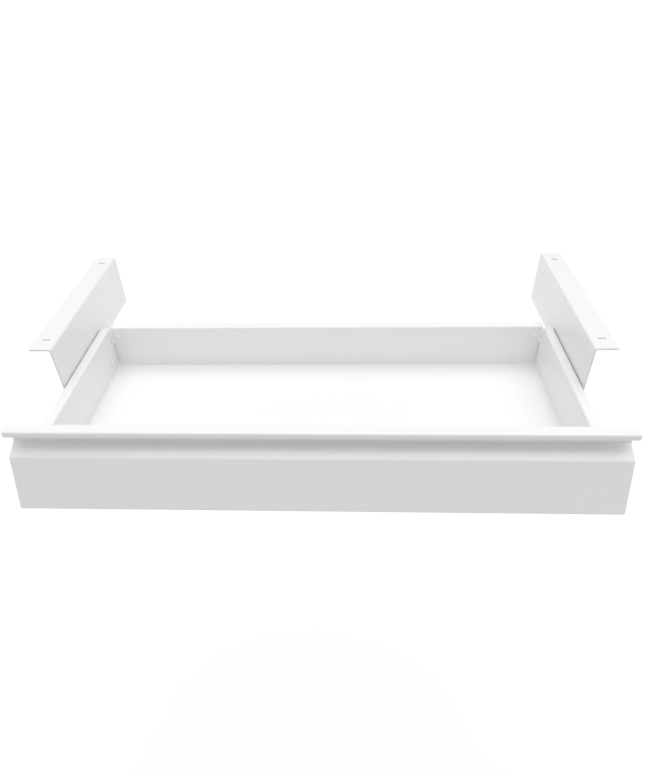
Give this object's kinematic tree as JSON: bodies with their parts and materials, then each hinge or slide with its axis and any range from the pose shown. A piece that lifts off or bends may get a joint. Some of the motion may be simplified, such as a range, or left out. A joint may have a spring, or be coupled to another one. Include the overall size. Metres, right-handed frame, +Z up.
{
  "type": "under desk drawer",
  "caption": "Shallow folded-steel drawer with a pull lip over a finger recess, on short ball slides hung from two angle rails that screw up under a desk.",
  "frame": {"origin": "midway between the two rails and between their ends, on the plane of the desk's underside that the rails' flanges lie against", "axes": "+X to the user's right along the front panel, -Y towards the user, +Z up into the desk"},
  "size_m": [0.6186, 0.3376, 0.1179],
  "materials": {
    "powder_coat": "white powder-coated sheet steel, satin",
    "slide_steel": "zinc-plated strip steel slide members",
    "zinc_steel": "bright zinc-plated steel",
    "rubber": "moulded rubber",
    "black_plastic": "moulded black nylon"
  },
  "bodies": {
    "rails": {"left_mounting_rail": "powder_coat", "left_rail_screw_1": "zinc_steel", "left_rail_screw_2": "zinc_steel", "left_rail_screw_3": "zinc_steel", "left_slide_outer_member": "slide_steel", "right_mounting_rail": "powder_coat", "right_rail_screw_1": "zinc_steel", "right_rail_screw_2": "zinc_steel", "right_rail_screw_3": "zinc_steel", "right_slide_outer_member": "slide_steel"},
    "drawer": {"back_wall": "powder_coat", "drawer_tray": "powder_coat", "front_panel": "powder_coat", "left_back_wall_screw": "powder_coat", "left_closing_stop": "rubber", "left_corner_rivet": "powder_coat", "left_panel_end_plate": "powder_coat", "left_slide_end_cap": "black_plastic", "left_slide_inner_member": "slide_steel", "left_slide_rivet_1": "zinc_steel", "left_slide_rivet_2": "zinc_steel", "left_slide_rivet_3": "zinc_steel", "panel_screw_1": "powder_coat", "panel_screw_2": "powder_coat", "panel_screw_3": "powder_coat", "panel_screw_4": "powder_coat", "right_back_wall_screw": "powder_coat", "right_closing_stop": "rubber", "right_corner_rivet": "powder_coat", "right_panel_end_plate": "powder_coat", "right_slide_end_cap": "black_plastic", "right_slide_inner_member": "slide_steel", "right_slide_rivet_1": "zinc_steel", "right_slide_rivet_2": "zinc_steel", "right_slide_rivet_3": "zinc_steel"},
    "left_ball_cage_body": {"left_slide_ball_cage": "zinc_steel"},
    "right_ball_cage_body": {"right_slide_ball_cage": "zinc_steel"}
  },
  "joints": [
    {"name": "drawer_slide", "type": "slide", "parent": "rails", "child": "drawer", "axis": [0, -1, 0], "range_m": [-0.081, 0.065]},
    {"name": "left_cage_slide", "type": "slide", "parent": "rails", "child": "left_ball_cage_body", "axis": [0, -1, 0], "range_m": [-0.0405, 0.0325]},
    {"name": "right_cage_slide", "type": "slide", "parent": "rails", "child": "right_ball_cage_body", "axis": [0, -1, 0], "range_m": [-0.0405, 0.0325]}
  ],
  "couplings": [
    {"joint": "left_cage_slide", "follows": "drawer_slide", "ratio": 0.5},
    {"joint": "right_cage_slide", "follows": "drawer_slide", "ratio": 0.5}
  ]
}
